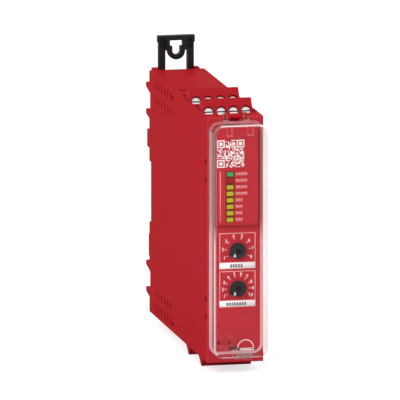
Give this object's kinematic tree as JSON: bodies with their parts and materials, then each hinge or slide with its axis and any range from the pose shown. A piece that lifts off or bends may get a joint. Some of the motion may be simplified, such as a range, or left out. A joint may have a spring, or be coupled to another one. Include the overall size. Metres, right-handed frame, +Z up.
{
  "type": "safety relay",
  "caption": "Slim rail-mounted safety relay in a red housing with pull-out screw terminal blocks, selector dials behind a clear hinged cover and a black rail latch.",
  "frame": {"origin": "middle of the rail seat: on the plane where the rail's flanges rest, mid-height between them, mid-width of the module", "axes": "+X across the module to the right as seen from the front, +Y towards the rail, +Z up"},
  "size_m": [0.0226, 0.127, 0.1168],
  "materials": {
    "red_housing": "fine moulded grain, satin",
    "red_plate": "fine moulded grain, satin",
    "red_panel": "fine texture, satin",
    "dark_bezel": "smooth, dark",
    "light_guide": "smooth, translucent",
    "led_body": "smooth",
    "dial_black": "satin",
    "switch_body": "satin",
    "clear_plastic": "polished, clear",
    "black_plastic": "satin",
    "spring_steel": "drawn wire",
    "red_block": "fine moulded grain, satin",
    "screw_steel": "bright zinc plate",
    "clamp_metal": "nickel plate",
    "contact_metal": "tin plate",
    "header_plastic": "satin",
    "circuit_board": "solder mask",
    "relay_case": "smooth",
    "transformer_core": "taped winding",
    "capacitor_can": "sleeved can",
    "chip_black": "matt"
  },
  "bodies": {
    "housing": {"board_connector": "contact_metal", "capacitors": "capacitor_can", "front_board": "circuit_board", "front_plate": "red_plate", "header_base_bottom_front": "header_plastic", "header_base_bottom_rear": "header_plastic", "header_base_top_front": "header_plastic", "header_base_top_rear": "header_plastic", "header_pins_bottom_front": "contact_metal", "header_pins_bottom_rear": "contact_metal", "header_pins_top_front": "contact_metal", "header_pins_top_rear": "contact_metal", "housing_shell": "red_housing", "indicator_bezel": "dark_bezel", "indicator_leds": "led_body", "indicator_panel": "red_panel", "internal_relay_lower": "relay_case", "internal_relay_upper": "relay_case", "latch_spring": "spring_steel", "light_guides": "light_guide", "main_board": "circuit_board", "processors": "chip_black", "rotary_switch_lower": "switch_body", "rotary_switch_upper": "switch_body", "side_cover": "red_housing", "transformer": "transformer_core"},
    "cover": {"clear_cover": "clear_plastic"},
    "latch": {"rail_latch": "black_plastic"},
    "dial_upper": {"selector_dial_upper": "dial_black"},
    "dial_lower": {"selector_dial_lower": "dial_black"},
    "block_top_rear": {"terminal_block_top_rear": "red_block", "terminal_screws_top_rear": "screw_steel", "wire_clamps_top_rear": "clamp_metal", "plug_contacts_top_rear": "contact_metal"},
    "block_top_front": {"terminal_block_top_front": "red_block", "terminal_screws_top_front": "screw_steel", "wire_clamps_top_front": "clamp_metal", "plug_contacts_top_front": "contact_metal"},
    "block_bottom_rear": {"terminal_block_bottom_rear": "red_block", "terminal_screws_bottom_rear": "screw_steel", "wire_clamps_bottom_rear": "clamp_metal", "plug_contacts_bottom_rear": "contact_metal"},
    "block_bottom_front": {"terminal_block_bottom_front": "red_block", "terminal_screws_bottom_front": "screw_steel", "wire_clamps_bottom_front": "clamp_metal", "plug_contacts_bottom_front": "contact_metal"}
  },
  "joints": [
    {"name": "cover_hinge", "type": "hinge", "parent": "housing", "child": "cover", "pos_m": [0, -0.1038, 0.04715], "axis": [-1, 0, 0], "range_deg": [0, 95]},
    {"name": "latch_slide", "type": "slide", "parent": "housing", "child": "latch", "axis": [0, 0, 1], "range_m": [0, 0.004], "stiffness_N_per_m": 400, "springref_m": -0.002, "deforming": ["latch_spring"]},
    {"name": "dial_upper_turn", "type": "hinge", "parent": "housing", "child": "dial_upper", "pos_m": [0.0008, -0.111, -0.00415], "axis": [0, 1, 0], "range_deg": [0, 235]},
    {"name": "dial_lower_turn", "type": "hinge", "parent": "housing", "child": "dial_lower", "pos_m": [0.0008, -0.111, -0.01945], "axis": [0, 1, 0], "range_deg": [0, 235]},
    {"name": "block_top_rear_pull", "type": "slide", "parent": "housing", "child": "block_top_rear", "axis": [0, 0.5664, 0.8241], "range_m": [0, 0.016]},
    {"name": "block_top_front_pull", "type": "slide", "parent": "housing", "child": "block_top_front", "axis": [0, 0.5664, 0.8241], "range_m": [0, 0.016]},
    {"name": "block_bottom_rear_pull", "type": "slide", "parent": "housing", "child": "block_bottom_rear", "axis": [0, 0.5664, -0.8241], "range_m": [0, 0.016]},
    {"name": "block_bottom_front_pull", "type": "slide", "parent": "housing", "child": "block_bottom_front", "axis": [0, 0.5664, -0.8241], "range_m": [0, 0.016]}
  ]
}
